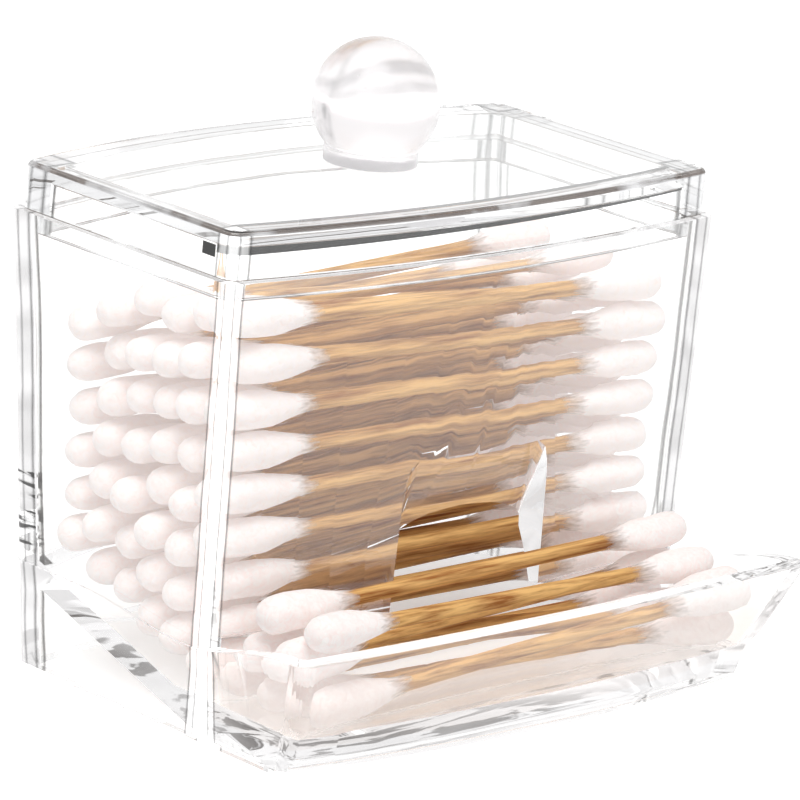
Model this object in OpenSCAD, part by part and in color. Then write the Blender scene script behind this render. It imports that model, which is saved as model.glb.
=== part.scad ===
// Clear cotton swab dispenser: a tapered box with a sloping floor that feeds an open tray
// in front, a lift-off lid with a ball knob, and the swabs that it holds.
// Millimetres, Z up, front towards -Y, swabs along X, standing on Z = 0.

/* [Body] */
// Width of the body at its rim
body_w = 87.2; // [82:0.2:100]
// Depth of the body at its rim, without the bow of the back and front
body_d = 42.2; // [39:0.2:56]
// Height of the rim above the table
body_h = 60.4; // [54:0.2:75]
// Thickness of the clear walls
wall = 2.7; // [2:0.1:3.2]
// Radius of the upright corners
corner_r = 1.2; // [1:0.1:2]
// How far the back bows out at its middle
back_bow = 5; // [2:0.1:8]
// How far the front wall bows out at its middle
front_bow = 3.3; // [1:0.1:4]
// Slope of the side walls, as inward travel for each millimetre down
side_draft = 0.02; // [0:0.005:0.03]
// Slope of the back wall, as inward travel for each millimetre down
back_draft = 0.12; // [0.05:0.01:0.14]

/* [Base and tray] */
// Height of the base's rim where it runs round the back
base_h = 14.8; // [13.5:0.1:17]
// How far the base stands out from the body's walls
ledge = 0.35; // [0.2:0.05:0.8]
// Height of the foot strips under the base
foot_h = 1.3; // [0.8:0.1:2.5]
// Height of the tray's floor above the table
tray_floor = 6.4; // [5.5:0.1:7.5]
// Height of the tray's rim at its front
tray_rim = 17.6; // [16:0.1:21]
// Lowest height of the rim, where the tray leaves the body
dip_rim = 12.9; // [11.5:0.1:14]
// Reach of the tray's rim in front of the body's front wall
tray_reach = 21.7; // [20:0.1:30]
// Reach of the plinth under the tray in front of the body's front wall
plinth_reach = 15.2; // [13:0.1:17]
// How far the tray spreads beyond the body on each side
tray_flare = 2.9; // [1:0.1:5]
// Radius of the upright corners of the base and tray
tray_r = 2; // [1.5:0.1:2.5]
// Rise of the feeding floor for each millimetre to the back
floor_slope = 0.32; // [0.26:0.01:0.34]
// Thickness of the feeding floor, measured upright
floor_t = 3.4; // [2.4:0.1:4]

/* [Opening and thumb cut-out] */
// Height of the front wall's lower edge above the table
slot_top = 14.4; // [13:0.1:16]
// Width of the thumb cut-out on the front face
thumb_w = 26; // [20:0.5:32]
// Width of the thumb cut-out on the inner face
thumb_inner_w = 23; // [18:0.5:30]
// Height of the cut-out's top on the front face, above the front wall's lower edge
thumb_h = 22.2; // [16:0.2:24]
// Height of the cut-out's top on the inner face, above the front wall's lower edge
thumb_inner_h = 12; // [10:0.2:15]

/* [Lid] */
// Height of the lid above the rim
lid_h = 6.4; // [5:0.1:10]
// How far the lid stands back from the body's rim
lid_inset = 0.75; // [0.3:0.05:1.5]
// Radius of the lid's upright corners
lid_r = 2.6; // [1.5:0.1:5]
// Thickness of the lid's top
lid_top = 2.5; // [1.8:0.1:3.5]
// Depth of the lip that drops into the body
lip_h = 2.9; // [2:0.1:5]
// Thickness of the lip
lip_t = 1.4; // [1:0.1:2.2]
// Gap round the lip
lip_gap = 0.35; // [0.2:0.05:0.6]
// Rounding of the lid's top edge
edge_r = 0.8; // [0.4:0.1:1.2]
// Diameter of the ball knob
knob_d = 17; // [13:0.5:22]
// Diameter of the knob's neck
neck_d = 12.4; // [8:0.2:12.8]
// Height of the neck between the lid and the ball's waist
neck_h = 8.1; // [7:0.1:10]

/* [Swabs] */
// Spare room between the ends of the swabs and the side walls
end_room = 1.3; // [0.8:0.1:3]
// Diameter of the wooden stick
stick_d = 2.1; // [1.8:0.1:2.4]
// Length of a cotton bud, with its taper
bud_l = 16.5; // [12:0.5:20]
// Least spare room between one layer of swabs and the next behind it
layer_play = 0.1; // [0.05:0.05:0.3]
// Spare room between the highest swabs and the lid's lip
head_room = 0.5; // [0.3:0.1:3]

/* [Hidden] */
$fn = 48;
// Steps of a corner, of a side and of a bowed edge in an outline
corner_n = 7;
side_n = 8;
bow_n = 14;
// Depth into a wall at which the radius of its corners has halved
half_depth = 3;
// How far a cutting shape runs past what it cuts
over = 1;
// Gap under what only rests on another piece
seat = 0.05;
front_y = -body_d / 2;
tray_y = front_y - tray_reach;
plinth_y = front_y - plinth_reach;
// Bow of the tray's front at its rim, at its foot and at the bottom of the plinth
rim_bow = 1.2;
waist_bow = 2.2;
plinth_bow = 3.5;
// Height of the waist between the plinth and the flared tray
waist_z = tray_floor + 1;
waist_drop = 1.7;
waist_y = plinth_y - 2.6;
shelf_y = plinth_y - 1.2;
// How far the sides stand out at the plinth's top edge and at the waist
shelf_flare = 0.1;
waist_flare = 0.4;
base_draft = 0.11;
// Where the tray's side starts to swing out, and where it ends
wing_start = front_y + 3.5;
wing_end = front_y - 0.88 * tray_reach;
// Where the rim dips lowest, and where its back part starts to drop to the dip
dip_y = front_y + 3.5;
drop_start = front_y + 0.57 * body_d;
rim_n = 24;
mid_y = (body_d / 2 + back_bow + tray_y - rim_bow) / 2;
// Where the feeding floor meets the tray's level floor
floor_y = front_y + 6.5;
// Thumb cut-out: steps of half its arch, share of its height where the arch springs, how far its foot
// spreads, how its sides lean in and how full its crown is
thumb_side_n = 5;
thumb_spring = 0.8;
thumb_taper = 0.7;
thumb_lean = 0.04;
thumb_crown = 0.6;
// Height over which the front wall thins towards its lower edge, and its thickness there
wedge_h = 7.5;
wedge_t = 1.1;
foot_t = 1.9;
foot_inset = 1.2;
foot_back = front_y + 0.62 * body_d;
foot_front = plinth_y + 4;
edge_n = 3;
knob_y = (back_bow - front_bow) / 2;
clear = [0.93, 0.96, 0.97, 0.35];
knob_clear = [0.95, 0.92, 0.91, 0.6];
cotton = [0.97, 0.95, 0.94];

// Outlines

function ease(t) = let(u = min(1, max(0, t))) u * u * (3 - 2 * u);

// Half the body's width and the place of its back at a height
function body_half(z) = body_w / 2 - side_draft * (body_h - z);
function body_back(z) = body_d / 2 - back_draft * (body_h - z);

// Radius of a corner's inner face, which is tighter the further in it lies
function tighter(r, inset) = r / (1 + inset / half_depth);

function arc(cx, cy, r, a0, a1) =
    [for (i = [0 : corner_n]) let(a = a0 + (a1 - a0) * i / corner_n) [cx + r * cos(a), cy + r * sin(a)]];

// A closed outline with a bowed back and front, whose sides swing out by flare towards the front
function outline(half, back, front, r, bow_b, bow_f, flare = 0) =
    let(
        wide = half + flare,
        tb = atan(2 * bow_b / (half - r)),
        tf = atan(2 * bow_f / (wide - r)),
        xb = half - r + r * sin(tb),
        xf = wide - r + r * sin(tf),
        y0 = back - r * cos(tb),
        y1 = front + r * cos(tf),
        side = [for (i = [1 : side_n - 1]) y0 + (y1 - y0) * i / side_n],
        swing = [for (y = side) half + flare * ease((wing_start - y) / (wing_start - wing_end))]
    )
    concat(
        [for (i = [1 : bow_n - 1]) let(t = 1 - 2 * i / bow_n) [xb * t, back + bow_b * (1 - t * t)]],
        arc(r - half, y0, r, 90 + tb, 180),
        [for (i = [0 : side_n - 2]) [-swing[i], side[i]]],
        arc(r - wide, y1, r, 180, 270 - tf),
        [for (i = [1 : bow_n - 1]) let(t = 2 * i / bow_n - 1) [xf * t, front - bow_f * (1 - t * t)]],
        arc(wide - r, y1, r, 270 + tf, 360),
        [for (i = [side_n - 2 : -1 : 0]) [swing[i], side[i]]],
        arc(half - r, y0, r, 0, 90 - tb)
    );

// A closed skin over a stack of outlines, each given as [height, points]
module skin(levels) {
    n = len(levels[0][1]);
    m = len(levels);
    polyhedron(
        points = [for (level = levels) for (p = level[1]) [p[0], p[1], level[0]]],
        faces = concat(
            [[for (i = [0 : n - 1]) i]],
            [for (k = [0 : m - 2]) for (i = [0 : n - 1]) let(j = (i + 1) % n)
                [k * n + i, (k + 1) * n + i, k * n + j]],
            [for (k = [0 : m - 2]) for (i = [0 : n - 1]) let(j = (i + 1) % n)
                [k * n + j, (k + 1) * n + i, (k + 1) * n + j]],
            [[for (i = [n - 1 : -1 : 0]) (m - 1) * n + i]]
        )
    );
}

// A side profile in Y and Z, drawn out across the full width
module across(points) {
    rotate([90, 0, 90]) linear_extrude(height = 2 * body_w, center = true) polygon(points);
}

// Container

function body_ring(z, inset) =
    [z, outline(body_half(z) - inset, body_back(z) - inset, front_y + inset,
        tighter(corner_r, inset), back_bow, front_bow)];

module body_block(low, high, inset = 0) {
    skin([body_ring(low, inset), body_ring(high, inset)]);
}

// Half the width of the base at a height
function base_half(z) = body_half(base_h) + ledge - base_draft * (base_h - z);

// One level of the base and tray: reach of its front, bow there, and how far its sides swing out
function tray_ring(z, front, bow, flare, inset) =
    [z, outline(base_half(z) - inset, body_back(z) + ledge - inset, front + inset, tighter(tray_r, inset),
        back_bow, bow, flare)];

// The tray's front at any height above the waist
function tray_lean(z) = (z - waist_z) / (tray_rim - waist_z);
function lean_front(z) = waist_y + (tray_y - waist_y) * tray_lean(z);
function lean_bow(z) = waist_bow + (rim_bow - waist_bow) * tray_lean(z);
function lean_flare(z) = waist_flare + (tray_flare - waist_flare) * tray_lean(z);

module tray_block() {
    top = tray_rim + over;
    skin([
        tray_ring(foot_h, plinth_y, plinth_bow, 0, 0),
        tray_ring(waist_z - waist_drop, shelf_y, plinth_bow, shelf_flare, 0),
        tray_ring(waist_z, waist_y, waist_bow, waist_flare, 0),
        tray_ring(top, lean_front(top), lean_bow(top), lean_flare(top), 0)
    ]);
}

module tray_inside() {
    low = tray_floor - over;
    top = tray_rim + 2 * over;
    skin([
        tray_ring(low, lean_front(low), lean_bow(low), lean_flare(low), wall),
        tray_ring(top, lean_front(top), lean_bow(top), lean_flare(top), wall)
    ]);
}

// Height of the base's rim: level at the back, a dip beside the front wall, then up round the tray
function rim_z(y) =
    y > dip_y
        ? dip_rim + (base_h - dip_rim) * ease((y - dip_y) / (drop_start - dip_y))
        : dip_rim + (tray_rim - dip_rim) * ease((dip_y - y) / (dip_y - wing_end));

rim_steps = [for (i = [0 : rim_n]) drop_start + (wing_end - drop_start) * i / rim_n];

module under_rim() {
    far = body_d;
    across(concat(
        [[far, -over], [far, rim_z(far)]],
        [for (y = rim_steps) [y, rim_z(y)]],
        [[tray_y - far, tray_rim], [tray_y - far, -over]]
    ));
}

// Height of the feeding floor, which slopes down to the tray and then runs level
function floor_z(y) = tray_floor + floor_slope * max(0, y - floor_y);

module above_floor() {
    far = body_d;
    across([
        [far, floor_z(far)],
        [floor_y, tray_floor],
        [tray_y - far, tray_floor],
        [tray_y - far, 2 * body_h],
        [far, 2 * body_h]
    ]);
}

// Open underside below the feeding floor, which leaves the floor the same thickness all along
module hollow() {
    low = -over;
    start = floor_y - (tray_floor - floor_t - foot_h) / floor_slope;
    intersection() {
        skin([body_ring(low, wall), body_ring(base_h + wall, wall)]);
        across([
            [start, low],
            [start, foot_h],
            [body_d, floor_z(body_d) - floor_t],
            [body_d, low]
        ]);
    }
}

// Arch of the thumb cut-out from half its width and its top above the front wall's lower edge
function arch(half, top) =
    let(rise = top * (1 - thumb_spring))
    concat(
        [[-half - thumb_taper, -over]],
        [for (i = [-thumb_side_n : thumb_side_n])
            let(a = 90 * i / thumb_side_n)
            [half * sin(a) * (1 - thumb_lean * cos(a)), top - rise * (1 - pow(cos(a), thumb_crown))]],
        [[half + thumb_taper, -over]]
    );

// The cut-out at a depth behind the foremost point of the front face
module thumb_slice(depth) {
    share = depth / wall;
    half = (thumb_w + (thumb_inner_w - thumb_w) * share) / 2;
    top = thumb_h + (thumb_inner_h - thumb_h) * share;
    translate([0, front_y - front_bow + depth, slot_top])
        rotate([90, 0, 0]) linear_extrude(height = 0.01) polygon(arch(half, top));
}

module thumb_cut() {
    hull() {
        thumb_slice(-over);
        thumb_slice(wall + over);
    }
}

// A block as wide as the inside, from in front of the body to just behind its front wall
function window_ring(z, y) =
    let(half = body_half(z) - wall, back = front_y + wall + over)
    [z, [[half, back], [-half, back], [-half, y], [half, y]]];

// Lets the swabs out under the front wall, and feathers that wall from the inside towards its lower edge
module window() {
    out = front_y - front_bow - over;
    top = slot_top + wedge_h + over;
    taper = (wall - wedge_t) / wedge_h;
    skin([window_ring(tray_floor, out), window_ring(slot_top, out)]);
    intersection() {
        skin([window_ring(slot_top - over, out), window_ring(top, out)]);
        skin([body_ring(slot_top - over, wedge_t - over * taper), body_ring(top, wall + over * taper)]);
    }
}

module feet() {
    half = base_half(foot_h) - foot_inset;
    difference() {
        translate([-half, foot_front, 0]) cube([2 * half, foot_back - foot_front, foot_h + over]);
        translate([foot_t - half, foot_front + foot_t, -over])
            cube([2 * (half - foot_t), foot_back - foot_front, foot_h + 3 * over]);
    }
}

module tray() {
    difference() {
        intersection() {
            tray_block();
            under_rim();
        }
        intersection() {
            tray_inside();
            above_floor();
        }
    }
}

module container() {
    color(clear) difference() {
        union() {
            difference() {
                body_block(foot_h, body_h);
                window();
            }
            tray();
            feet();
        }
        intersection() {
            body_block(tray_floor - over, body_h + over, wall);
            above_floor();
        }
        hollow();
        thumb_cut();
    }
}

// Lid and knob

function lid_ring(z, inset) =
    [z, outline(body_half(body_h) - inset, body_back(body_h) - inset, front_y + inset,
        tighter(lid_r, inset), back_bow, front_bow)];

module lid() {
    low = body_h + seat;
    top = body_h + lid_h;
    lip_out = wall + lip_gap;
    lip_in = lip_out + lip_t;
    color(clear) difference() {
        union() {
            skin(concat(
                [lid_ring(low, lid_inset)],
                [for (i = [0 : edge_n]) let(a = 90 * i / edge_n)
                    lid_ring(top - edge_r * (1 - sin(a)), lid_inset + edge_r * (1 - cos(a)))]
            ));
            skin([lid_ring(body_h - lip_h, lip_out), lid_ring(low + over, lip_out)]);
        }
        skin([lid_ring(body_h - lip_h - over, lip_in), lid_ring(top - lid_top, lip_in)]);
    }
}

module knob() {
    color(knob_clear) translate([0, knob_y, body_h + lid_h]) {
        cylinder(h = neck_h, d = neck_d);
        difference() {
            translate([0, 0, neck_h]) sphere(d = knob_d);
            translate([0, 0, -knob_d]) cylinder(h = knob_d, d = 2 * knob_d);
        }
    }
}

// Swabs

// Shares of a bud's length where its blunt tip ends and where its taper starts, how much it swells between
// them, and how far its cotton stands out from the stick at its end
tip_end = 0.16;
taper_start = 0.42;
swell = 0.03;
tail = 0.1;

// Radius of a bud at a share of its length, from its tip to its taper on the stick
function bud_r(t, d) =
    let(plain = d / 2 * (1 - swell))
    t < tip_end ? plain * sqrt(1 - pow(1 - t / tip_end, 2))
    : t < taper_start ? plain + d / 2 * swell * sin(180 * (t - tip_end) / (taper_start - tip_end))
    : stick_d / 2 + tail + (plain - stick_d / 2 - tail) * ease((1 - t) / (1 - taper_start));

bud_steps = [0, 0.01, 0.03, 0.06, 0.1, 0.16, 0.26, 0.36, 0.46, 0.58, 0.7, 0.84, 1];

// A swab along X between the middles of its two ends, given as [shift, y left, z left, y right, z right]
module swab(ends, d) {
    half = swab_l / 2;
    bud = [for (t = bud_steps) [bud_r(t, d), half - bud_l * t]];
    yaw = atan((ends[3] - ends[1]) / swab_l);
    rise = atan((ends[4] - ends[2]) / swab_l);
    translate([ends[0], (ends[1] + ends[3]) / 2, (ends[2] + ends[4]) / 2])
        rotate([0, 90 - rise, yaw])
            rotate_extrude($fn = 24)
                polygon(concat(bud, [for (i = [len(bud) - 1 : -1 : 0]) [bud[i][0], -bud[i][1]]]));
}

swab_l = 2 * (body_half(tray_floor) - wall - end_room);
swab_top = body_h - lip_h - head_room;
// Layers from the front wall to the back: how many swabs each holds
rows = [9, 8, 8, 7, 7, 6];
layer_pitch = (body_d - 2 * wall) / (len(rows) + 1);
layer_y = [for (k = [0 : len(rows) - 1]) front_y + wall + layer_pitch * (k + 0.5)];
bud_d = min(layer_pitch, (swab_top - floor_z(layer_y[0])) / (rows[0] + 0.1)) - layer_play;
back_play = 3 * layer_play;
// Lowest height of a layer's swabs: on the floor, or where the back wall leaves room for them
function on_floor(y) = floor_z(y) + bud_d / 2 * norm([1, floor_slope]) + seat;
function by_back(y) = body_h - (body_d / 2 - wall - bud_d / 2 - back_play - y) / back_draft;
layer_z = [for (y = layer_y) max(on_floor(y), by_back(y))];
// Height that a layer has to spare, and the shares of it that lift and spread its left and right ends
spare = [for (k = [0 : len(rows) - 1]) swab_top - layer_z[k] + bud_d / 2 - rows[k] * bud_d];
lift_left = [0, 0.1, 0, 0.08, 0, 0];
lift_right = [0.02, 0, 0.25, 0, 0.2, 0.05];
spread_left = [0.96, 0.8, 0.6, 0.75, 0.45, 0.25];
spread_right = [0.2, 0.3, 0.45, 0.35, 0.6, 0.3];

function sum_to(v, n) = n <= 0 ? 0 : v[n - 1] + sum_to(v, n - 1);

// Least share of a gap between two swabs of a layer, and the end room that their shifts take up
least_gap = 0.15;
shift = 0.85 * end_room;

stacked = [for (k = [0 : len(rows) - 1])
    let(
        n = rows[k],
        gaps_l = rands(least_gap, 1, n - 1, 31 + k),
        gaps_r = rands(least_gap, 1, n - 1, 57 + k),
        shifts = rands(-shift, shift, n, 83 + k)
    )
    for (i = [0 : n - 1])
        let(
            left = lift_left[k] + spread_left[k] * sum_to(gaps_l, i) / sum_to(gaps_l, n - 1),
            right = lift_right[k] + spread_right[k] * sum_to(gaps_r, i) / sum_to(gaps_r, n - 1)
        )
        [shifts[i], layer_y[k], layer_z[k] + i * bud_d + left * spare[k],
            layer_y[k], layer_z[k] + i * bud_d + right * spare[k]]];

// Loose swabs in the tray: shift, then how far each end lies in front of the body and above the tray's
// floor, all in diameters of a bud
tray_spots = [
    [0.1, 0.16, 0.52, 0.2, 0.52],
    [-0.1, 0.76, 1.4, 1.42, 0.52],
    [0.12, 1.4, 0.52, 2.48, 0.52],
    [0.2, 2.52, 0.52, 2.88, 1.56],
    [-0.12, 1.95, 1.48, 0.8, 1.54],
    [0.16, 2.6, 2.28, 1.8, 1.79],
    [-0.2, 1.25, 2.4, 1.05, 2.56]
];
loose = [for (s = tray_spots) [s[0] * bud_d, front_y - s[1] * bud_d, tray_floor + s[2] * bud_d,
    front_y - s[3] * bud_d, tray_floor + s[4] * bud_d]];
spots = concat(stacked, loose);
thinnest = 0.95 * bud_d;
sizes = rands(thinnest, bud_d, len(spots), 11);

function swab_name(i) = str("swab_", i < 9 ? "0" : "", i + 1);

translate([0, -mid_y, 0]) container();
translate([0, -mid_y, 0]) lid();
translate([0, -mid_y, 0]) knob();
for (i = [0 : len(spots) - 1])
    color(cotton) translate([0, -mid_y, 0]) swab(spots[i], sizes[i]);
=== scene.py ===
"""Looks of a clear cotton swab dispenser: a box with a tray, a lid with a ball knob, and its swabs."""
import math
import random

import bmesh
import bpy
from mathutils import Matrix, Vector


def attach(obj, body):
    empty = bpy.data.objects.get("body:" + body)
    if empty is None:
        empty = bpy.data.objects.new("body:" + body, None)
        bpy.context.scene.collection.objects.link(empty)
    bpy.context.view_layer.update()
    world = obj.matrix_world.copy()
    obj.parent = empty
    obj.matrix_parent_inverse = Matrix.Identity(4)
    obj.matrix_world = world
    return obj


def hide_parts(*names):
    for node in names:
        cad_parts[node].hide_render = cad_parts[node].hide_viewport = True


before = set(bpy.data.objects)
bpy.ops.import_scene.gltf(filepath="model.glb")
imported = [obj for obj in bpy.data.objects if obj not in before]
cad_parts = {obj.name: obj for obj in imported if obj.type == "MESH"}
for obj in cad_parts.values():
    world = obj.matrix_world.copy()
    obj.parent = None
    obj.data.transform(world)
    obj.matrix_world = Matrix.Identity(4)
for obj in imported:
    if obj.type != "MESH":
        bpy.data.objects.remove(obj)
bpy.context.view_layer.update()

MM = 0.001

# Camera, as seen in the photograph
VIEW_AZIMUTH = -45.1
VIEW_ELEVATION = 15.5
VIEW_ROLL = 5.5
LENS = 260.9
DISTANCE = 758.8 * MM
AIM = Vector((0, 8.95, 46.6)) * MM
SLIDE_RIGHT = 5.2 * MM
SLIDE_UP = -11.4 * MM

CLEAR_IOR = 1.53

# Where the lid's inner edges lie, along which a dark line is painted in place of a refraction
RIM = 60.4 * MM
LID_UNDERSIDE = 64.3 * MM
LID_INNER_FRONT = -11.0 * MM
FRONT_BOW = 3.3 * MM
INNER_HALF = 39 * MM

# Where the far posts with their painted grey streaks and painted dark bands lie, and the tray's foot with
# its painted shade
FAR_POSTS_FROM = 2 * MM
BANDS_MIDDLE = 20.5 * MM
BANDS_REACH = 6.5 * MM
TRAY_FRONT_FROM = -14 * MM
TRAY_FLOOR = 4.5 * MM
FOOT_FULL = 10 * MM
FOOT_TOP = 17 * MM
LINE_BAND = 1.2 * MM

# Greys over a post's width, from its arris inward: the painted white glow of the core, and the painted fine
# dark lines beside it, standing in for bright and dark surroundings seen through the corner
PAINTED_GLOW_STOPS = [(0.0, 0.8), (0.3, 0.8), (0.38, 0.15), (0.46, 0.5), (0.68, 0.4), (0.78, 0.0)]
PAINTED_LINE_STOPS = [(0.0, 1.0), (0.3, 1.0), (0.38, 0.12), (0.45, 1.0), (0.7, 1.0), (0.8, 0.05), (0.9, 1.0)]


def camera():
    """The photograph's view: back is where the camera stands, seen from the aim."""
    a, e, r = (math.radians(v) for v in (VIEW_AZIMUTH, VIEW_ELEVATION, VIEW_ROLL))
    back = Vector((math.sin(a) * math.cos(e), -math.cos(a) * math.cos(e), math.sin(e)))
    level = Vector((0, 0, 1)).cross(back).normalized()
    upright = back.cross(level)
    right = math.cos(r) * level + math.sin(r) * upright
    up = math.cos(r) * upright - math.sin(r) * level
    place = AIM + back * DISTANCE + right * SLIDE_RIGHT + up * SLIDE_UP
    data = bpy.data.cameras.new("camera")
    data.lens = LENS
    data.sensor_width = 36
    data.clip_start = 0.01
    data.clip_end = 20
    cam = bpy.data.objects.new("camera", data)
    turn = Matrix((right, up, back)).transposed().to_4x4()
    cam.matrix_world = Matrix.Translation(place) @ turn
    bpy.context.scene.collection.objects.link(cam)
    bpy.context.scene.camera = cam
    return cam


def node_tree(name):
    mat = bpy.data.materials.new(name)
    mat.use_nodes = True
    tree = mat.node_tree
    tree.nodes.clear()
    return mat, tree


def add(tree, kind, **values):
    node = tree.nodes.new(kind)
    for key, value in values.items():
        if hasattr(node, key):
            setattr(node, key, value)
        else:
            node.inputs[key.replace("_", " ")].default_value = value
    return node


def new_group(name, inputs, outputs):
    group = bpy.data.node_groups.new(name, "ShaderNodeTree")
    for label, kind, default in inputs:
        socket = group.interface.new_socket(label, in_out="INPUT", socket_type=kind)
        if default is not None:
            socket.default_value = default
    for label, kind in outputs:
        group.interface.new_socket(label, in_out="OUTPUT", socket_type=kind)
    return group, group.nodes.new("NodeGroupInput"), group.nodes.new("NodeGroupOutput")


def place_group(tree, group, **values):
    node = tree.nodes.new("ShaderNodeGroup")
    node.node_tree = group
    for key, value in values.items():
        node.inputs[key.replace("_", " ")].default_value = value
    return node


def fill_ramp(node, stops):
    """Sets a colour ramp to greys at given positions."""
    ramp = node.color_ramp
    while len(ramp.elements) < len(stops):
        ramp.elements.new(0.5)
    for element, (position, value) in zip(ramp.elements, stops):
        element.position = position
        element.color = (value, value, value, 1)


def calc(tree, operation, *values):
    """A math node fed with numbers or other nodes' outputs; gives its result."""
    node = add(tree, "ShaderNodeMath", operation=operation)
    for i, value in enumerate(values):
        if hasattr(value, "is_output"):
            tree.links.new(value, node.inputs[i])
        else:
            node.inputs[i].default_value = value
    return node.outputs["Value"]


def span(tree, value, low, high, new_low=0.0, new_high=1.0):
    """A map range node from low..high to new_low..new_high; gives its result."""
    node = add(tree, "ShaderNodeMapRange")
    for label, number in (("From Min", low), ("From Max", high), ("To Min", new_low), ("To Max", new_high)):
        node.inputs[label].default_value = number
    tree.links.new(value, node.inputs["Value"])
    return node.outputs["Result"]


def grey_ramp(tree, value, stops):
    node = add(tree, "ShaderNodeValToRGB")
    fill_ramp(node, stops)
    tree.links.new(value, node.inputs["Fac"])
    return node.outputs["Color"]


def blend_vectors(tree, operation, first, second):
    node = add(tree, "ShaderNodeVectorMath", operation=operation)
    tree.links.new(first, node.inputs[0])
    tree.links.new(second, node.inputs[1])
    return node.outputs["Vector"]


def moulding_group():
    """Slow ripples of a moulded surface and faint handling marks."""
    group, start, end = new_group(
        "moulded_surface",
        [("Ripple Scale", "NodeSocketFloat", 60.0), ("Ripple Depth", "NodeSocketFloat", 0.3),
         ("Polish", "NodeSocketFloat", 0.01), ("Haze", "NodeSocketFloat", 0.02)],
        [("Roughness", "NodeSocketFloat"), ("Height", "NodeSocketFloat")])
    coords = add(group, "ShaderNodeTexCoord")
    ripple = add(group, "ShaderNodeTexNoise", Detail=1.0, Roughness=0.4)
    marks = add(group, "ShaderNodeTexNoise", Scale=420.0, Detail=4.0, Roughness=0.7)
    ramp = add(group, "ShaderNodeMapRange")
    ramp.inputs["From Min"].default_value = 0.55
    ramp.inputs["From Max"].default_value = 0.8
    scale = add(group, "ShaderNodeMath", operation="MULTIPLY")
    link = group.links.new
    link(coords.outputs["Object"], ripple.inputs["Vector"])
    link(start.outputs["Ripple Scale"], ripple.inputs["Scale"])
    link(coords.outputs["Object"], marks.inputs["Vector"])
    link(marks.outputs["Fac"], ramp.inputs["Value"])
    link(start.outputs["Polish"], ramp.inputs["To Min"])
    link(start.outputs["Haze"], ramp.inputs["To Max"])
    link(ripple.outputs["Fac"], scale.inputs[0])
    link(start.outputs["Ripple Depth"], scale.inputs[1])
    link(ramp.outputs["Result"], end.inputs["Roughness"])
    link(scale.outputs["Value"], end.inputs["Height"])
    return group


def trapped_group():
    """Light that runs on inside a wall: pale grey, with black and white bars low at the back and right."""
    group, start, end = new_group(
        "trapped_light",
        [("Pale", "NodeSocketColor", (0.86, 0.86, 0.87, 1)), ("Bars", "NodeSocketFloat", 0.0)],
        [("Color", "NodeSocketColor")])
    coords = add(group, "ShaderNodeTexCoord")
    stretch = add(group, "ShaderNodeMapping")
    stretch.inputs["Scale"].default_value = (0.12, 0.12, 1.0)
    soft = add(group, "ShaderNodeTexNoise", Scale=180.0, Detail=2.0)
    bars = add(group, "ShaderNodeTexNoise", Scale=820.0, Detail=3.0, Distortion=0.6)
    place = add(group, "ShaderNodeSeparateXYZ")
    link = group.links.new
    link(coords.outputs["Object"], stretch.inputs["Vector"])
    link(coords.outputs["Object"], place.inputs["Vector"])
    link(stretch.outputs["Vector"], soft.inputs["Vector"])
    link(stretch.outputs["Vector"], bars.inputs["Vector"])
    x, y, z = (place.outputs[axis] for axis in "XYZ")
    low = span(group, calc(group, "MULTIPLY_ADD", x, 0.2, z), 22 * MM, 14 * MM)
    rearward = span(group, y, -4 * MM, 24 * MM, 0.25)
    rightward = span(group, x, -15 * MM, 25 * MM)
    here = calc(group, "MULTIPLY", low, calc(group, "MAXIMUM", rearward, rightward))
    above_slope = calc(group, "GREATER_THAN", z, calc(group, "MULTIPLY_ADD", y, 0.36, 3 * MM))
    share = calc(group, "MULTIPLY", calc(group, "MULTIPLY", here, above_slope), start.outputs["Bars"])
    shade = add(group, "ShaderNodeMix", data_type="RGBA", blend_type="MULTIPLY")
    shade.inputs["Factor"].default_value = 1.0
    barred = add(group, "ShaderNodeMix", data_type="RGBA", blend_type="MULTIPLY")
    link(start.outputs["Pale"], shade.inputs["A"])
    link(span(group, soft.outputs["Fac"], 0.35, 0.65, 0.74, 1.1), shade.inputs["B"])
    link(share, barred.inputs["Factor"])
    link(shade.outputs["Result"], barred.inputs["A"])
    link(grey_ramp(group, bars.outputs["Fac"], [(0.45, 0.0), (0.5, 1.0)]), barred.inputs["B"])
    link(barred.outputs["Result"], end.inputs["Color"])
    return group


def post_distance(tree, given, coords, x, y, z):
    """How far a point lies from its corner, as a wavering share of the post's width, and if it is far."""
    below_rim = calc(tree, "SUBTRACT", RIM, z)
    half = calc(tree, "SUBTRACT", given["Half"], calc(tree, "MULTIPLY", below_rim, given["Half Slope"]))
    back = calc(tree, "SUBTRACT", given["Back"], calc(tree, "MULTIPLY", below_rim, given["Back Slope"]))
    from_side = calc(tree, "ABSOLUTE", calc(tree, "SUBTRACT", half, calc(tree, "ABSOLUTE", x)))
    from_front = calc(tree, "ABSOLUTE", calc(tree, "SUBTRACT", y, given["Front"]))
    from_back = calc(tree, "ABSOLUTE", calc(tree, "SUBTRACT", back, y))
    from_end = calc(tree, "MINIMUM", from_front, from_back)
    rear = calc(tree, "GREATER_THAN", y, FAR_POSTS_FROM)
    far = calc(tree, "MAXIMUM", calc(tree, "GREATER_THAN", x, 0.0), rear)
    wide = calc(tree, "MULTIPLY", given["Wide"], calc(tree, "MULTIPLY_ADD", far, 0.7, 1.0))
    share = calc(tree, "DIVIDE", calc(tree, "MAXIMUM", from_side, from_end), wide)
    waver = add(tree, "ShaderNodeTexNoise", Scale=45.0, Detail=2.0)
    tree.links.new(coords, waver.inputs["Vector"])
    return calc(tree, "ADD", share, calc(tree, "MULTIPLY_ADD", waver.outputs["Fac"], 0.3, -0.15)), far


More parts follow.
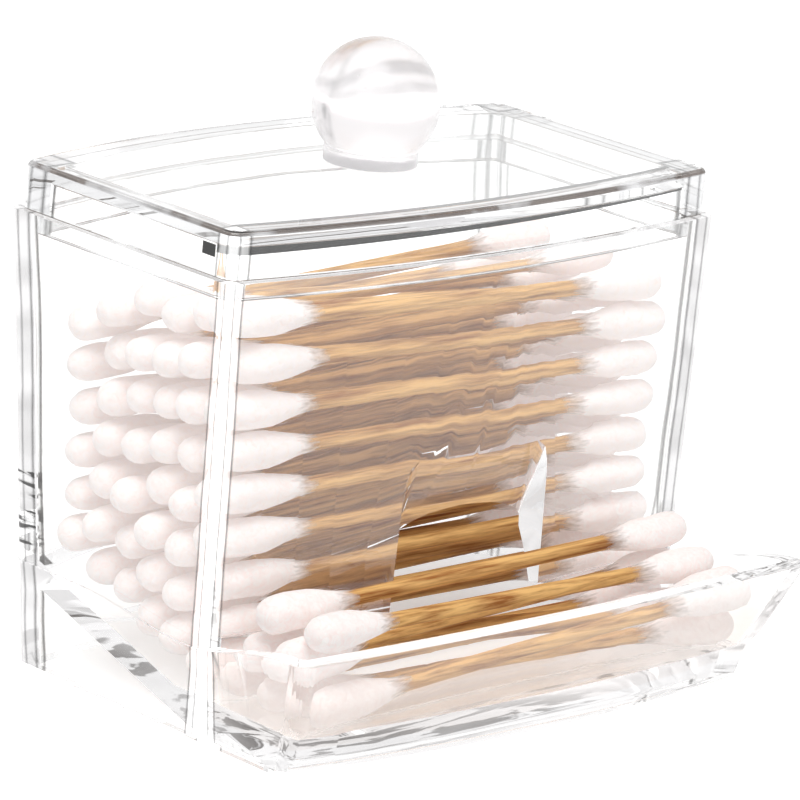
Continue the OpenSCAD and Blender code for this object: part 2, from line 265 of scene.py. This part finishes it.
def far_post_painted_shades(tree, given, coords, in_post, x, z):
    """Painted shade as grey streaks across the far posts, and painted black bands low on the left one,
    standing in for dark surroundings seen through it.
    """
    across = add(tree, "ShaderNodeMapping")
    across.inputs["Scale"].default_value = (0.15, 0.15, 1.0)
    streaks = add(tree, "ShaderNodeTexNoise", Scale=160.0, Detail=3.0)
    bands = add(tree, "ShaderNodeTexNoise", Scale=700.0, Detail=3.0, Distortion=0.5)
    tree.links.new(coords, across.inputs["Vector"])
    tree.links.new(across.outputs["Vector"], streaks.inputs["Vector"])
    tree.links.new(across.outputs["Vector"], bands.inputs["Vector"])
    streaked = calc(tree, "MULTIPLY", in_post, calc(tree, "MULTIPLY", streaks.outputs["Fac"], 0.5))
    banded = grey_ramp(tree, bands.outputs["Fac"], [(0.0, 1.0), (0.46, 1.0), (0.53, 0.0)])
    level = calc(tree, "COMPARE", z, BANDS_MIDDLE, BANDS_REACH)
    low_left = calc(tree, "MULTIPLY", level, calc(tree, "LESS_THAN", x, 0.0))
    here = calc(tree, "MULTIPLY", calc(tree, "MULTIPLY", in_post, given["Low Bars"]), low_left)
    greyer = calc(tree, "SUBTRACT", 1.0, streaked)
    clear_of_bands = calc(tree, "SUBTRACT", 1.0, calc(tree, "MULTIPLY", here, banded))
    return greyer, clear_of_bands


def tray_foot_shade(tree, given, y, z):
    """The tray's foot, where the light is caught between wall and floor."""
    above_floor = calc(tree, "GREATER_THAN", z, TRAY_FLOOR)
    in_tray = calc(tree, "MULTIPLY", calc(tree, "LESS_THAN", y, TRAY_FRONT_FROM), above_floor)
    shaded = add(tree, "ShaderNodeMix", data_type="RGBA")
    shaded.inputs["A"].default_value = (1, 1, 1, 1)
    in_foot = calc(tree, "MULTIPLY", in_tray, span(tree, z, FOOT_TOP, FOOT_FULL))
    tree.links.new(in_foot, shaded.inputs["Factor"])
    tree.links.new(given["Foot Shade"], shaded.inputs["B"])
    return shaded.outputs["Result"]


def painted_lid_line_gap(tree, given, x, y, z):
    """Nought on the painted dark line, standing in for a refraction, where a lid's top meets its inner
    wall, thick near and thin further on.
    """
    bowed = calc(tree, "MULTIPLY_ADD", calc(tree, "MULTIPLY", x, x), -FRONT_BOW / INNER_HALF ** 2, y)
    inner = calc(tree, "COMPARE", bowed, LID_INNER_FRONT, LINE_BAND)
    reach = calc(tree, "MULTIPLY", given["Line Depth"], calc(tree, "MULTIPLY_ADD", x, -8.0, 0.65))
    under = calc(tree, "GREATER_THAN", calc(tree, "ADD", z, reach), LID_UNDERSIDE)
    inside = calc(tree, "MULTIPLY", inner, calc(tree, "LESS_THAN", z, LID_UNDERSIDE + 0.3 * MM))
    return calc(tree, "SUBTRACT", 1.0, calc(tree, "MULTIPLY", inside, under))


def painted_post_glow_and_lines_group():
    """Upright corners of a clear box: a painted white glow in the core with painted fine grey lines beside
    it, standing in for bright and dark surroundings seen through the corner. It also carries the painted
    lid line, the far posts' painted shade and bands, the tray foot's painted shade and a painted haze.
    """
    number, colour = "NodeSocketFloat", "NodeSocketColor"
    names = ("Half", "Half Slope", "Front", "Back", "Back Slope", "Wide", "Line Depth", "Low Bars")
    group, start, end = new_group(
        "painted_post_glow_and_lines",
        [(name, number, 0.0) for name in names]
        + [("Foot Shade", colour, (1, 1, 1, 1)), ("Plain", colour, (1, 1, 1, 1)),
           ("Painted Haze", colour, (0.02, 0.02, 0.02, 1))],
        [("Color", colour), ("Glow", colour)])
    coords = add(group, "ShaderNodeTexCoord").outputs["Object"]
    place = add(group, "ShaderNodeSeparateXYZ")
    group.links.new(coords, place.inputs["Vector"])
    x, y, z = (place.outputs[axis] for axis in "XYZ")
    given = start.outputs
    wavering, far = post_distance(group, given, coords, x, y, z)
    core = grey_ramp(group, wavering, PAINTED_GLOW_STOPS)
    lines = grey_ramp(group, wavering, PAINTED_LINE_STOPS)
    in_post = calc(group, "MULTIPLY", far, calc(group, "LESS_THAN", wavering, 0.85))
    greyer, clear_of_bands = far_post_painted_shades(group, given, coords, in_post, x, z)
    painted_line_gap = painted_lid_line_gap(group, given, x, y, z)
    tinted = add(group, "ShaderNodeMix", data_type="RGBA", blend_type="MULTIPLY")
    tinted.inputs["Factor"].default_value = 1.0
    group.links.new(given["Plain"], tinted.inputs["A"])
    group.links.new(lines, tinted.inputs["B"])
    shade = tinted.outputs["Result"]
    for factor in (painted_line_gap, greyer, clear_of_bands, tray_foot_shade(group, given, y, z)):
        shade = blend_vectors(group, "MULTIPLY", shade, factor)
    # The painted core glow is mostly taken off the far posts
    dimmer = calc(group, "MULTIPLY_ADD", far, -0.9, 1.0)
    # The painted haze is a faint glow added over the whole clear surface
    glow = blend_vectors(group, "ADD", blend_vectors(group, "MULTIPLY", core, dimmer), given["Painted Haze"])
    group.links.new(shade, end.inputs["Color"])
    group.links.new(blend_vectors(group, "MULTIPLY", glow, painted_line_gap), end.inputs["Glow"])
    return group


def painted_edge_line(name, dark):
    """An eased arris with a painted fine line on it that turns from clear to dark and back along its
    length, standing in for surroundings seen through the edge; deep rays end on a painted glow of the same
    colours.
    """
    mat, tree = node_tree(name)
    surface = add(tree, "ShaderNodeBsdfPrincipled")
    surface.inputs["Transmission Weight"].default_value = 1.0
    surface.inputs["IOR"].default_value = CLEAR_IOR
    surface.inputs["Roughness"].default_value = 0.12
    coords = add(tree, "ShaderNodeTexCoord")
    runs = add(tree, "ShaderNodeTexNoise", Scale=70.0, Detail=3.0, Roughness=0.6)
    shade = add(tree, "ShaderNodeValToRGB")
    shade.color_ramp.elements[0].position = 0.49
    shade.color_ramp.elements[0].color = (*dark, 1)
    shade.color_ramp.elements[1].position = 0.64
    shade.color_ramp.elements[1].color = (0.95, 0.95, 0.95, 1)
    path = add(tree, "ShaderNodeLightPath")
    either = add(tree, "ShaderNodeMath", operation="MAXIMUM")
    late = add(tree, "ShaderNodeMath", operation="GREATER_THAN")
    late.inputs[1].default_value = 5.0
    # Painted glow for deep rays, in the line's colours
    glow = add(tree, "ShaderNodeEmission", Strength=0.8)
    passing = add(tree, "ShaderNodeBsdfTransparent")
    mix_late = add(tree, "ShaderNodeMixShader")
    mix = add(tree, "ShaderNodeMixShader")
    out = add(tree, "ShaderNodeOutputMaterial")
    link = tree.links.new
    link(coords.outputs["Object"], runs.inputs["Vector"])
    link(runs.outputs["Fac"], shade.inputs["Fac"])
    link(shade.outputs["Color"], surface.inputs["Base Color"])
    link(shade.outputs["Color"], glow.inputs["Color"])
    link(path.outputs["Ray Depth"], late.inputs[0])
    link(path.outputs["Is Shadow Ray"], either.inputs[0])
    link(path.outputs["Is Diffuse Ray"], either.inputs[1])
    link(late.outputs["Value"], mix_late.inputs["Fac"])
    link(surface.outputs["BSDF"], mix_late.inputs[1])
    link(glow.outputs["Emission"], mix_late.inputs[2])
    link(either.outputs["Value"], mix.inputs["Fac"])
    link(mix_late.outputs["Shader"], mix.inputs[1])
    link(passing.outputs["BSDF"], mix.inputs[2])
    link(mix.outputs["Shader"], out.inputs["Surface"])
    return mat


def clear_plastic(name, groups, posts, ripple_scale, ripple_depth, polish, haze, bars=0.0, deep=5.0):
    """Clear moulding that lets the lamps through to what it holds; its corners carry painted glow, painted
    lines and painted shade, and rays that go deep end on a painted glow.
    """
    mat, tree = node_tree(name)
    surface = add(tree, "ShaderNodeBsdfPrincipled")
    surface.inputs["Transmission Weight"].default_value = 1.0
    surface.inputs["IOR"].default_value = CLEAR_IOR
    surface.inputs["Emission Strength"].default_value = 1.0
    made = place_group(tree, groups[0], Ripple_Scale=ripple_scale, Ripple_Depth=ripple_depth,
                       Polish=polish, Haze=haze)
    bump = add(tree, "ShaderNodeBump", Strength=0.5, Distance=0.15 * MM)
    corners = place_group(tree, groups[2], **posts)
    # Rays deeper than deep end on this painted glow, with painted dark bars, instead of tracing on
    caught = add(tree, "ShaderNodeBsdfPrincipled")
    caught.inputs["Base Color"].default_value = (0, 0, 0, 1)
    caught.inputs["Roughness"].default_value = 1.0
    caught.inputs["Specular IOR Level"].default_value = 0.0
    caught.inputs["Emission Strength"].default_value = 1.0
    glow = place_group(tree, groups[1], Bars=bars)
    path = add(tree, "ShaderNodeLightPath")
    late = add(tree, "ShaderNodeMath", operation="GREATER_THAN")
    late.inputs[1].default_value = deep
    either = add(tree, "ShaderNodeMath", operation="MAXIMUM")
    passing = add(tree, "ShaderNodeBsdfTransparent")
    mix_late = add(tree, "ShaderNodeMixShader")
    mix = add(tree, "ShaderNodeMixShader")
    out = add(tree, "ShaderNodeOutputMaterial")
    link = tree.links.new
    link(made.outputs["Roughness"], surface.inputs["Roughness"])
    link(made.outputs["Height"], bump.inputs["Height"])
    link(bump.outputs["Normal"], surface.inputs["Normal"])
    # The corners' painted lines and shade go into the base colour, their painted glow and haze into the
    # emission
    link(corners.outputs["Color"], surface.inputs["Base Color"])
    link(corners.outputs["Glow"], surface.inputs["Emission Color"])
    link(glow.outputs["Color"], caught.inputs["Emission Color"])
    link(path.outputs["Ray Depth"], late.inputs[0])
    link(late.outputs["Value"], mix_late.inputs["Fac"])
    link(surface.outputs["BSDF"], mix_late.inputs[1])
    link(caught.outputs["BSDF"], mix_late.inputs[2])
    link(path.outputs["Is Shadow Ray"], either.inputs[0])
    link(path.outputs["Is Diffuse Ray"], either.inputs[1])
    link(either.outputs["Value"], mix.inputs["Fac"])
    link(mix_late.outputs["Shader"], mix.inputs[1])
    link(passing.outputs["BSDF"], mix.inputs[2])
    link(mix.outputs["Shader"], out.inputs["Surface"])
    return mat


def cotton():
    """Wound cotton: soft white with a warm shade and fine fibres round the bud, and a faint warm painted
    glow that keeps it bright.
    """
    mat, tree = node_tree("cotton")
    surface = add(tree, "ShaderNodeBsdfPrincipled")
    surface.inputs["Roughness"].default_value = 0.9
    surface.inputs["Subsurface Weight"].default_value = 0.25
    surface.inputs["Subsurface Radius"].default_value = (1.2 * MM, 0.9 * MM, 0.8 * MM)
    surface.inputs["Subsurface Scale"].default_value = 1.0
    # A faint warm painted glow lifts the cotton where the lamps leave it dim
    surface.inputs["Emission Color"].default_value = (1, 0.93, 0.91, 1)
    surface.inputs["Emission Strength"].default_value = 0.11
    surface.inputs["Sheen Weight"].default_value = 0.35
    surface.inputs["Sheen Roughness"].default_value = 0.5
    coords = add(tree, "ShaderNodeTexCoord")
    fibres = add(tree, "ShaderNodeTexNoise", Scale=900.0, Detail=5.0, Roughness=0.65, Distortion=1.2)
    tufts = add(tree, "ShaderNodeTexNoise", Scale=260.0, Detail=2.0)
    colour = add(tree, "ShaderNodeValToRGB")
    colour.color_ramp.elements[0].position = 0.3
    colour.color_ramp.elements[0].color = (0.86, 0.75, 0.72, 1)
    colour.color_ramp.elements[1].position = 0.62
    colour.color_ramp.elements[1].color = (0.93, 0.87, 0.85, 1)
    height = add(tree, "ShaderNodeMath", operation="ADD")
    bump = add(tree, "ShaderNodeBump", Strength=0.6, Distance=0.25 * MM)
    along = add(tree, "ShaderNodeAttribute", attribute_name="along")
    strand = add(tree, "ShaderNodeMapping")
    strand.inputs["Scale"].default_value = (0.12, 1.0, 1.0)
    strands = add(tree, "ShaderNodeTexNoise", Scale=2600.0, Detail=2.0)
    ragged = add(tree, "ShaderNodeMath", operation="MULTIPLY_ADD")
    ragged.inputs[1].default_value = 0.3
    fade = add(tree, "ShaderNodeMapRange")
    fade.inputs["From Min"].default_value = 1.16
    fade.inputs["From Max"].default_value = 0.9
    out = add(tree, "ShaderNodeOutputMaterial")
    link = tree.links.new
    link(coords.outputs["Object"], strand.inputs["Vector"])
    link(strand.outputs["Vector"], strands.inputs["Vector"])
    link(strands.outputs["Fac"], ragged.inputs[0])
    link(along.outputs["Fac"], ragged.inputs[2])
    link(ragged.outputs["Value"], fade.inputs["Value"])
    link(fade.outputs["Result"], surface.inputs["Alpha"])
    link(coords.outputs["Object"], fibres.inputs["Vector"])
    link(coords.outputs["Object"], tufts.inputs["Vector"])
    link(fibres.outputs["Fac"], colour.inputs["Fac"])
    link(colour.outputs["Color"], surface.inputs["Base Color"])
    link(fibres.outputs["Fac"], height.inputs[0])
    link(tufts.outputs["Fac"], height.inputs[1])
    link(height.outputs["Value"], bump.inputs["Height"])
    link(bump.outputs["Normal"], surface.inputs["Normal"])
    link(surface.outputs["BSDF"], out.inputs["Surface"])
    return mat


def birch():
    """Peeled stick with grain along its length."""
    mat, tree = node_tree("birch_stick")
    surface = add(tree, "ShaderNodeBsdfPrincipled")
    surface.inputs["Roughness"].default_value = 0.6
    surface.inputs["Specular IOR Level"].default_value = 0.2
    coords = add(tree, "ShaderNodeTexCoord")
    along = add(tree, "ShaderNodeMapping")
    along.inputs["Scale"].default_value = (0.05, 1.0, 1.0)
    grain = add(tree, "ShaderNodeTexNoise", Scale=1400.0, Detail=4.0, Roughness=0.6)
    colour = add(tree, "ShaderNodeValToRGB")
    colour.color_ramp.elements[0].position = 0.32
    colour.color_ramp.elements[0].color = (0.30, 0.10, 0.018, 1)
    colour.color_ramp.elements[1].position = 0.6
    colour.color_ramp.elements[1].color = (0.82, 0.49, 0.18, 1)
    bump = add(tree, "ShaderNodeBump", Strength=0.35, Distance=0.08 * MM)
    out = add(tree, "ShaderNodeOutputMaterial")
    link = tree.links.new
    link(coords.outputs["Object"], along.inputs["Vector"])
    link(along.outputs["Vector"], grain.inputs["Vector"])
    link(grain.outputs["Fac"], colour.inputs["Fac"])
    link(colour.outputs["Color"], surface.inputs["Base Color"])
    link(grain.outputs["Fac"], bump.inputs["Height"])
    link(bump.outputs["Normal"], surface.inputs["Normal"])
    link(surface.outputs["BSDF"], out.inputs["Surface"])
    return mat


def link_mesh(name, bm, materials):
    mesh = bpy.data.meshes.new(name)
    bm.to_mesh(mesh)
    bm.free()
    for mat in materials:
        mesh.materials.append(mat)
    piece = bpy.data.objects.new(name, mesh)
    bpy.context.scene.collection.objects.link(piece)
    return piece


def clear_piece(node, body, mats, edge, sharp_angle=22.0):
    """A smooth copy of a clear moulding, with its arrises eased by edge."""
    bm = bmesh.new()
    bm.from_mesh(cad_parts[node].data)
    bmesh.ops.remove_doubles(bm, verts=bm.verts, dist=0.002 * MM)
    bmesh.ops.dissolve_limit(bm, angle_limit=math.radians(0.3), verts=bm.verts, edges=bm.edges)
    for face in bm.faces:
        face.smooth = True
    for e in bm.edges:
        e.smooth = e.calc_face_angle(0.0) < math.radians(sharp_angle)
    piece = link_mesh(node + "_clear", bm, mats)
    bevel = piece.modifiers.new("eased_arrises", "BEVEL")
    bevel.width = edge
    bevel.segments = 3
    bevel.limit_method = "ANGLE"
    bevel.angle_limit = math.radians(sharp_angle)
    bevel.use_clamp_overlap = True
    bevel.material = len(mats) - 1
    weighted = piece.modifiers.new("flat_faces", "WEIGHTED_NORMAL")
    weighted.keep_sharp = False
    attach(piece, body)
    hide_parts(node)
    return piece


def swab_axis(node):
    """The middles of a swab's two ends, and the radius of its buds."""
    points = [v.co.copy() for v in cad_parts[node].data.vertices]
    left = min(points, key=lambda p: p.x)
    right = max(points, key=lambda p: p.x)
    run = (right - left).normalized()
    widest = max(((p - left) - run * (p - left).dot(run)).length for p in points)
    return left, right, widest


STICK_R = 1.05 * MM
BUD_L = 16.5 * MM
ROUND_END = 0.16
BELLY_END = 0.42
SHOULDER = 0.97
WINDING_STEP = 0.08 * MM
BUD_STEPS = 24
SHAFT_STEPS = 16
SHAFT_PARTS = 8
COTTON, WOOD = 0, 1
BUD_PROFILE = [0, 0.01, 0.03, 0.06, 0.1, 0.16, 0.22, 0.3, 0.4, 0.5, 0.6, 0.7, 0.8, 0.9, 1.0]
WISPS = 16
WISP_RINGS = 5
WISP_RADIUS = 0.022 * MM


def bud_radius(t, widest):
    """Radius of a bud at a share of its length from its tip: round end, belly, then a taper."""
    if t < ROUND_END:
        return widest * SHOULDER * math.sqrt(max(0.0, 1 - (1 - t / ROUND_END) ** 2))
    if t < BELLY_END:
        swell = math.sin(math.pi * (t - ROUND_END) / (BELLY_END - ROUND_END))
        return widest * (SHOULDER + (1 - SHOULDER) * swell)
    u = (1 - t) / (1 - BELLY_END)
    return STICK_R + (widest * SHOULDER - STICK_R) * u * u * (3 - 2 * u) + WINDING_STEP * (1 - u)


def lathe(bm, start, run, side, profile, steps, material):
    """Spins a profile of (distance along, radius) round a swab's axis and gives back the new points."""
    before = set(bm.verts)
    faces_before = set(bm.faces)
    verts = [bm.verts.new(start + run * x + side * r) for x, r in profile]
    edges = [bm.edges.new(pair) for pair in zip(verts, verts[1:])]
    bmesh.ops.spin(bm, geom=verts + edges, cent=start, axis=run, angle=2 * math.pi,
                   steps=steps, use_merge=True)
    for face in set(bm.faces) - faces_before:
        face.material_index = material
        face.smooth = True
    return set(bm.verts) - before


def lumps(angle, t, turns):
    """How much wound cotton stands out or in at an angle round the bud and a share of its length."""
    return (0.03 * math.sin(2 * angle + turns[0] + 5 * t)
            + 0.022 * math.sin(3 * angle + turns[1] - 9 * t)
            + 0.014 * math.sin(5 * angle + turns[2] + 14 * t)
            + 0.02 * math.sin(11 * t + turns[3]))


def bud(bm, tip, inward, side, widest, along, rng):
    """Wound cotton from a swab's tip: a little uneven all round, no two alike."""
    length = BUD_L * rng.uniform(0.92, 1.04)
    fat = rng.uniform(0.93, 0.985)
    other = inward.cross(side)
    turns = [rng.uniform(0, 2 * math.pi) for _ in range(4)]
    profile = [(length * t, bud_radius(t, widest)) for t in BUD_PROFILE] + [(length, 0.0)]
    for v in lathe(bm, tip, inward, side, profile, BUD_STEPS, COTTON):
        rel = v.co - tip
        x = rel.dot(inward)
        out = rel - inward * x
        t = x / length
        angle = math.atan2(out.dot(other), out.dot(side))
        held = min(1.0, max(0.0, (1 - t) / 0.3))
        v.co = tip + inward * x + out * (1 + (lumps(angle, t, turns) - (1 - fat)) * held)
        v[along] = t
    for _ in range(WISPS):
        wisp(bm, tip, inward, side, other, widest * fat, length, rng)


def wisp(bm, tip, inward, side, other, widest, length, rng):
    """A stray fibre: a fine closed thread that leaves the bud and comes back down beside it."""
    angle = rng.uniform(0, 2 * math.pi)
    t = rng.uniform(0.12, 0.85)
    reach = rng.uniform(1.2, 3.2) * MM
    lift = rng.uniform(0.12, 0.32) * MM
    swing = rng.uniform(-0.8, 0.8)
    rings = []
    for i in range(WISP_RINGS):
        u = i / (WISP_RINGS - 1)
        x = length * t + reach * u
        out = side * math.cos(angle + swing * u) + other * math.sin(angle + swing * u)
        away = bud_radius(min(1.0, x / length), widest) + lift * math.sin(math.pi * 0.8 * u) - 0.05 * MM
        centre = tip + inward * x + out * away
        thick = WISP_RADIUS * (1 - 0.6 * u)
        corners = [2 * math.pi * k / 3 for k in range(3)]
        rings.append([bm.verts.new(centre + (out * math.cos(c) + inward.cross(out) * math.sin(c)) * thick)
                      for c in corners])
    for first, second in zip(rings, rings[1:]):
        for k in range(3):
            bm.faces.new((first[k], first[(k + 1) % 3], second[(k + 1) % 3], second[k]))
    bm.faces.new(reversed(rings[0]))
    bm.faces.new(rings[-1])


def swab(node, mats, rng):
    """A stick with a cotton bud wound on each end, in the place of the plain swab."""
    left, right, widest = swab_axis(node)
    run = (right - left).normalized()
    length = (right - left).length
    side = run.cross(Vector((0, 0, 1))).normalized()
    bm = bmesh.new()
    along = bm.verts.layers.float.new("along")
    hidden = BUD_L * 0.7
    part = (length - 2 * hidden) / SHAFT_PARTS
    shaft = [(hidden + part * i, STICK_R * rng.uniform(0.96, 1.0)) for i in range(SHAFT_PARTS + 1)]
    shaft = [(shaft[0][0], 0.0)] + shaft + [(shaft[-1][0], 0.0)]
    lathe(bm, left, run, side, shaft, SHAFT_STEPS, WOOD)
    bud(bm, left, run, side, widest, along, rng)
    bud(bm, right, -run, side, widest, along, rng)
    bmesh.ops.remove_doubles(bm, verts=bm.verts, dist=0.001 * MM)
    bmesh.ops.recalc_face_normals(bm, faces=bm.faces)
    piece = link_mesh(node + "_dressed", bm, mats)
    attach(piece, "container")
    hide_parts(node)
    return piece


def studio():
    """White surroundings, at full strength for camera, glossy and transmission rays and dimmer for the
    rest, under the plain view transform.
    """
    scene = bpy.context.scene
    scene.view_settings.view_transform = "Standard"
    world = bpy.data.worlds.new("studio")
    scene.world = world
    world.use_nodes = True
    tree = world.node_tree
    tree.nodes.clear()
    path = add(tree, "ShaderNodeLightPath")
    seen = add(tree, "ShaderNodeMath", operation="MAXIMUM")
    seen_more = add(tree, "ShaderNodeMath", operation="MAXIMUM")
    strength = add(tree, "ShaderNodeMapRange")
    strength.inputs["To Min"].default_value = 0.4
    strength.inputs["To Max"].default_value = 1.0
    glow = add(tree, "ShaderNodeBackground")
    glow.inputs["Color"].default_value = (1, 1, 1, 1)
    out = add(tree, "ShaderNodeOutputWorld")
    link = tree.links.new
    link(path.outputs["Is Camera Ray"], seen.inputs[0])
    link(path.outputs["Is Glossy Ray"], seen.inputs[1])
    link(seen.outputs["Value"], seen_more.inputs[0])
    link(path.outputs["Is Transmission Ray"], seen_more.inputs[1])
    link(seen_more.outputs["Value"], strength.inputs["Value"])
    link(strength.outputs["Result"], glow.inputs["Strength"])
    link(glow.outputs["Background"], out.inputs["Surface"])


def floor():
    """Pale floor that turns to plain white away from the box."""
    bm = bmesh.new()
    bmesh.ops.create_grid(bm, x_segments=1, y_segments=1, size=3.0)
    mat, tree = node_tree("pale_floor")
    matte = add(tree, "ShaderNodeBsdfDiffuse")
    matte.inputs["Color"].default_value = (0.86, 0.86, 0.86, 1)
    glow = add(tree, "ShaderNodeEmission")
    glow.inputs["Color"].default_value = (1, 1, 1, 1)
    coords = add(tree, "ShaderNodeTexCoord")
    away = add(tree, "ShaderNodeVectorMath", operation="LENGTH")
    rise = add(tree, "ShaderNodeMapRange")
    rise.inputs["From Min"].default_value = 0.06
    rise.inputs["From Max"].default_value = 0.5
    rise.inputs["To Min"].default_value = 0.4
    rise.inputs["To Max"].default_value = 1.0
    path = add(tree, "ShaderNodeLightPath")
    seen = add(tree, "ShaderNodeMath", operation="MAXIMUM")
    seen_more = add(tree, "ShaderNodeMath", operation="MAXIMUM")
    lift = add(tree, "ShaderNodeMath", operation="MULTIPLY")
    both = add(tree, "ShaderNodeAddShader")
    out = add(tree, "ShaderNodeOutputMaterial")
    link = tree.links.new
    link(coords.outputs["Object"], away.inputs[0])
    link(away.outputs["Value"], rise.inputs["Value"])
    link(path.outputs["Is Camera Ray"], seen.inputs[0])
    link(path.outputs["Is Glossy Ray"], seen.inputs[1])
    link(seen.outputs["Value"], seen_more.inputs[0])
    link(path.outputs["Is Transmission Ray"], seen_more.inputs[1])
    link(seen_more.outputs["Value"], lift.inputs[0])
    link(rise.outputs["Result"], lift.inputs[1])
    link(lift.outputs["Value"], glow.inputs["Strength"])
    link(matte.outputs["BSDF"], both.inputs[0])
    link(glow.outputs["Emission"], both.inputs[1])
    link(both.outputs["Shader"], out.inputs["Surface"])
    ground = link_mesh("floor", bm, [mat])
    ground.data.transform(Matrix.Translation((0, 0, -0.05 * MM)))
    return ground


def bars_group():
    """Uneven dark bars on a lit card."""
    group, start, end = new_group(
        "card_bars",
        [("Across", "NodeSocketFloat", 30.0), ("Upright", "NodeSocketFloat", 4.0),
         ("Share", "NodeSocketFloat", 0.5), ("Dark", "NodeSocketColor", (0.0, 0.0, 0.0, 1))],
        [("Color", "NodeSocketColor")])
    coords = add(group, "ShaderNodeTexCoord")
    size = add(group, "ShaderNodeCombineXYZ")
    stretch = add(group, "ShaderNodeVectorMath", operation="MULTIPLY")
    bars = add(group, "ShaderNodeTexNoise", Scale=1.0, Detail=2.0, Roughness=0.6)
    edge = add(group, "ShaderNodeMapRange")
    far = add(group, "ShaderNodeMath", operation="ADD")
    far.inputs[1].default_value = 0.06
    mix = add(group, "ShaderNodeMix", data_type="RGBA")
    mix.inputs["B"].default_value = (1, 1, 1, 1)
    link = group.links.new
    link(start.outputs["Across"], size.inputs["X"])
    link(start.outputs["Across"], size.inputs["Y"])
    link(start.outputs["Upright"], size.inputs["Z"])
    link(coords.outputs["Object"], stretch.inputs[0])
    link(size.outputs["Vector"], stretch.inputs[1])
    link(stretch.outputs["Vector"], bars.inputs["Vector"])
    link(bars.outputs["Fac"], edge.inputs["Value"])
    link(start.outputs["Share"], edge.inputs["From Min"])
    link(start.outputs["Share"], far.inputs[0])
    link(far.outputs["Value"], edge.inputs["From Max"])
    link(edge.outputs["Result"], mix.inputs["Factor"])
    link(start.outputs["Dark"], mix.inputs["A"])
    link(mix.outputs["Result"], end.inputs["Color"])
    return group


def card(name, group, centre, size, turn, tip=0.0, **bars):
    """A lit card with dark bars, which only the clear pieces pick up."""
    bm = bmesh.new()
    bmesh.ops.create_grid(bm, x_segments=1, y_segments=1, size=0.5)
    bmesh.ops.scale(bm, vec=(size[0], size[1], 1), verts=bm.verts)
    upright = Matrix.Rotation(math.radians(turn), 4, "Z") @ Matrix.Rotation(math.radians(90 + tip), 4, "X")
    bmesh.ops.transform(bm, matrix=Matrix.Translation(centre) @ upright, verts=bm.verts)
    mat, tree = node_tree(name)
    look = place_group(tree, group, **bars)
    lit = add(tree, "ShaderNodeBsdfPrincipled")
    lit.inputs["Base Color"].default_value = (0, 0, 0, 1)
    lit.inputs["Specular IOR Level"].default_value = 0.0
    lit.inputs["Emission Strength"].default_value = 1.0
    out = add(tree, "ShaderNodeOutputMaterial")
    tree.links.new(look.outputs["Color"], lit.inputs["Emission Color"])
    tree.links.new(lit.outputs["BSDF"], out.inputs["Surface"])
    piece = link_mesh(name, bm, [mat])
    piece.visible_camera = False
    piece.visible_shadow = False
    piece.visible_diffuse = False
    return piece


def lamp(name, place, target, size, watts, colour=(1, 1, 1)):
    data = bpy.data.lights.new(name, "AREA")
    data.shape = "RECTANGLE"
    data.size = size[0]
    data.size_y = size[1]
    data.energy = watts
    data.color = colour
    piece = bpy.data.objects.new(name, data)
    aim = (Vector(target) - Vector(place)).normalized()
    piece.matrix_world = Matrix.Translation(place) @ aim.to_track_quat("-Z", "Y").to_matrix().to_4x4()
    bpy.context.scene.collection.objects.link(piece)
    return piece


camera()
studio()
floor()
bars = bars_group()
card("left_card", bars, (-0.75, 0.25, 0.3), (0.6, 1.0), 70, Across=30.0, Upright=6.0, Share=0.42)
card("right_card", bars, (0.8, -0.1, 0.3), (0.6, 1.0), 80, Across=22.0, Upright=3.0, Share=0.44,
     Dark=(0.2, 0.2, 0.21, 1))
lamp("overhead", (-0.25, -0.15, 0.7), (0, 0, 0.04), (0.5, 0.5), 3.9)
lamp("front_fill", (0.35, -0.7, 0.35), (0, 0, 0.04), (0.4, 0.4), 0.9)

plastic_groups = (moulding_group(), trapped_group(), painted_post_glow_and_lines_group())
# Where each clear piece's corners lie, and the painted glow, lines, bands, haze and foot shade set for it
body_posts = {"Half": 43.6 * MM, "Half_Slope": 0.02, "Front": -12.15 * MM,
              "Back": 30.05 * MM, "Back_Slope": 0.12, "Wide": 2.9 * MM, "Low_Bars": 1.0,
              "Foot_Shade": (0.9, 0.86, 0.835, 1),
              "Plain": (0.985, 0.99, 0.99, 1), "Painted Haze": (0.024, 0.022, 0.021, 1)}
lid_posts = {"Half": 42.85 * MM, "Front": -11.4 * MM, "Back": 29.3 * MM, "Wide": 3.6 * MM,
             "Line_Depth": 1.3 * MM,
             "Plain": (0.985, 0.99, 0.99, 1), "Painted Haze": (0.015, 0.015, 0.015, 1)}
knob_posts = {"Half": 1.0, "Front": -1.0, "Back": 1.0, "Wide": 1.0 * MM, "Plain": (0.94, 0.912, 0.918, 1),
              "Painted Haze": (0.01, 0.01, 0.01, 1)}
body_mat = clear_plastic("clear_body", plastic_groups, body_posts, 45.0, 0.35, 0.0, 0.02, bars=1.0)
lid_mat = clear_plastic("clear_lid", plastic_groups, lid_posts, 60.0, 0.3, 0.0, 0.02)
knob_mat = clear_plastic("clear_knob", plastic_groups, knob_posts, 90.0, 0.2, 0.22, 0.3)
body_edge_painted_line = painted_edge_line("body_edge_painted_line", (0.12, 0.11, 0.11))
lid_edge_painted_line = painted_edge_line("lid_edge_painted_line", (0.08, 0.06, 0.05))
cotton_mat = cotton()
birch_mat = birch()

clear_piece("container", "container", [body_mat, body_edge_painted_line], 0.35 * MM)
clear_piece("lid", "lid", [lid_mat, lid_edge_painted_line], 0.3 * MM)
clear_piece("knob", "lid", [knob_mat], 0.2 * MM)

rng = random.Random(7)
for node in sorted(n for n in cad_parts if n.startswith("swab_")):
    swab(node, [cotton_mat, birch_mat], rng)
